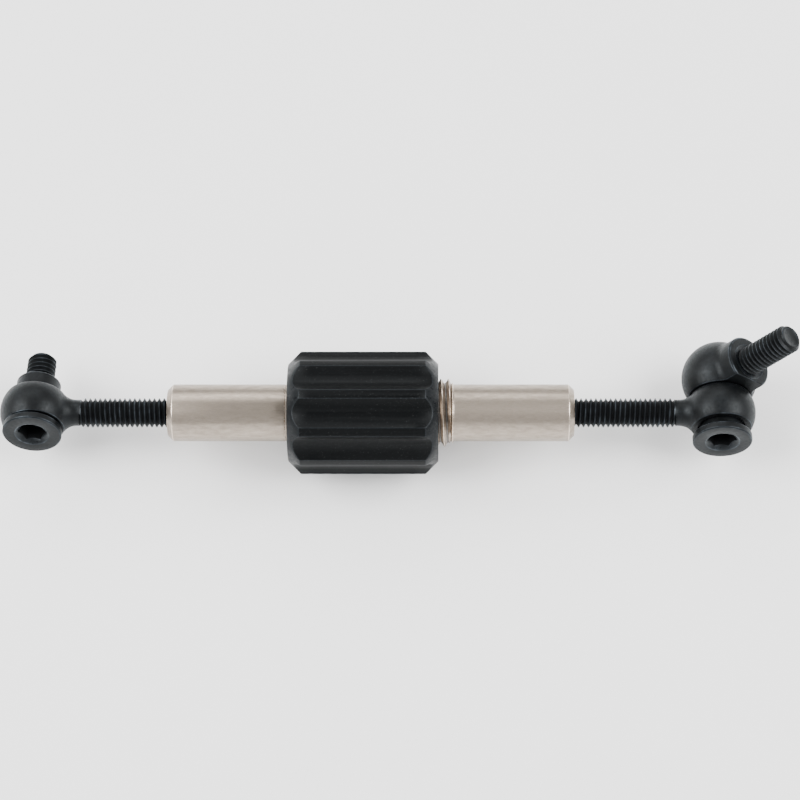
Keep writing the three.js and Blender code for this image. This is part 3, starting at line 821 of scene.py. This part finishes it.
# ---------------------------------------------------------------- the pieces
piece("fluted_knob", knob_shape(), ANODISED, LINK, "knob", "adjusting_knob")
piece("plain_sleeve", left_sleeve_shape(), STEEL, LINK, "left_sleeve", "left_sleeve")
piece("threaded_sleeve", right_sleeve_shape(), STEEL, LINK, "right_sleeve", "right_sleeve")
piece("thrust_washer", washer_shape(), STEEL, LINK, "left_sleeve", "outer_thrust_washer")
piece("left_rod_end", eye_rod_shape(1), BLACK, placing(LEFT_EYE, ALONG, LEFT_BOLT), "left_rod",
      "left_eye_rod")
piece("right_rod_end", eye_rod_shape(-1), BLACK, placing(RIGHT_EYE, -ALONG, RIGHT_BOLT),
      "right_rod", "right_eye_rod")
piece("left_bolt_with_socket", shoulder_bolt_shape(LEFT_HEAD_FACE), BLACK,
      placing(LEFT_EYE, LEFT_BOLT, ALONG), "left_bolt", "left_shoulder_bolt")
piece("right_bolt_with_socket", shoulder_bolt_shape(RIGHT_HEAD_FACE), BLACK,
      placing(RIGHT_EYE, RIGHT_BOLT, ALONG), "knuckle", "right_shoulder_bolt")
piece("ball_knuckle", knuckle_shape(), BLACK,
      placing(RIGHT_EYE + RIGHT_BOLT * KNUCKLE_OFFSET * MM, STUD, RIGHT_BOLT), "knuckle",
      "knuckle_stud")

for node, material in (("knob_bush", BRONZE), ("wave_spring", SPRING),
                       ("retaining_washer", ZINC), ("retaining_screw", ZINC)):
    data = frame["nodes"][node].data
    data.materials.clear()
    data.materials.append(material)


# ---------------------------------------------------------------- floor, light and camera
def floor():
    bm = bmesh.new()
    bmesh.ops.create_grid(bm, x_segments=1, y_segments=1, size=FLOOR_HALF)
    mesh = bpy.data.meshes.new("floor")
    bm.to_mesh(mesh)
    bm.free()
    obj = bpy.data.objects.new("floor", mesh)
    bpy.context.scene.collection.objects.link(obj)
    n = Nodes("pale_floor")
    speck = n.noise(0.02, detail=2.0)
    mesh.materials.append(n.finish(n.ramp(speck, (0.3, grey(0.92)), (0.7, grey(0.94))),
                                   n.spread(speck, 0.85, 0.95), n.bump(speck, 0.1, 0.01), 0.0,
                                   0.2))


def soft_box(name, direction, distance, width, height, power):
    """A rectangular soft box that looks at the link."""
    data = bpy.data.lights.new(name, "AREA")
    data.shape = "RECTANGLE"
    data.size = width
    data.size_y = height
    data.energy = power
    obj = bpy.data.objects.new(name, data)
    bpy.context.scene.collection.objects.link(obj)
    obj.location = Vector(direction).normalized() * distance
    obj.rotation_euler = (obj.location - AXIS).to_track_quat("Z", "Y").to_euler()


def light():
    """A studio tent with a dim roof, a long soft box behind, a weak one in front, and one
    beyond each end of the link."""
    world = bpy.data.worlds.new("studio")
    bpy.context.scene.world = world
    world.use_nodes = True
    nodes, links = world.node_tree.nodes, world.node_tree.links
    coords = nodes.new("ShaderNodeTexCoord")
    split = nodes.new("ShaderNodeSeparateXYZ")
    height = nodes.new("ShaderNodeValToRGB")
    height.color_ramp.interpolation = "EASE"
    stops = height.color_ramp.elements
    while len(stops) < len(TENT):
        stops.new(0.5)
    for stop, (place, brightness) in zip(stops, TENT):
        stop.position = place
        stop.color = (brightness, brightness, brightness, 1)
    links.new(coords.outputs["Generated"], split.inputs["Vector"])
    links.new(split.outputs["Z"], height.inputs["Fac"])
    links.new(height.outputs["Color"], nodes["Background"].inputs["Color"])
    for box in SOFT_BOXES:
        soft_box(*box)


def camera():
    data = bpy.data.cameras.new("camera")
    data.lens = CAMERA_LENS
    data.sensor_width = 36
    data.clip_start = 0.01
    obj = bpy.data.objects.new("camera", data)
    bpy.context.scene.collection.objects.link(obj)
    toward = Vector((math.sin(CAMERA_YAW), -math.cos(CAMERA_YAW) * math.cos(CAMERA_ELEVATION),
                     math.cos(CAMERA_YAW) * math.sin(CAMERA_ELEVATION)))
    side = (ALONG - toward * ALONG.dot(toward)).normalized()
    up = toward.cross(side)
    turn = Matrix((side, up, toward)).transposed().to_4x4()
    aim = AXIS + ALONG * VIEW_RIGHT + up * VIEW_RAISE
    obj.matrix_world = Matrix.Translation(aim + toward * CAMERA_DISTANCE) @ turn
    bpy.context.scene.camera = obj


floor()
light()
camera()
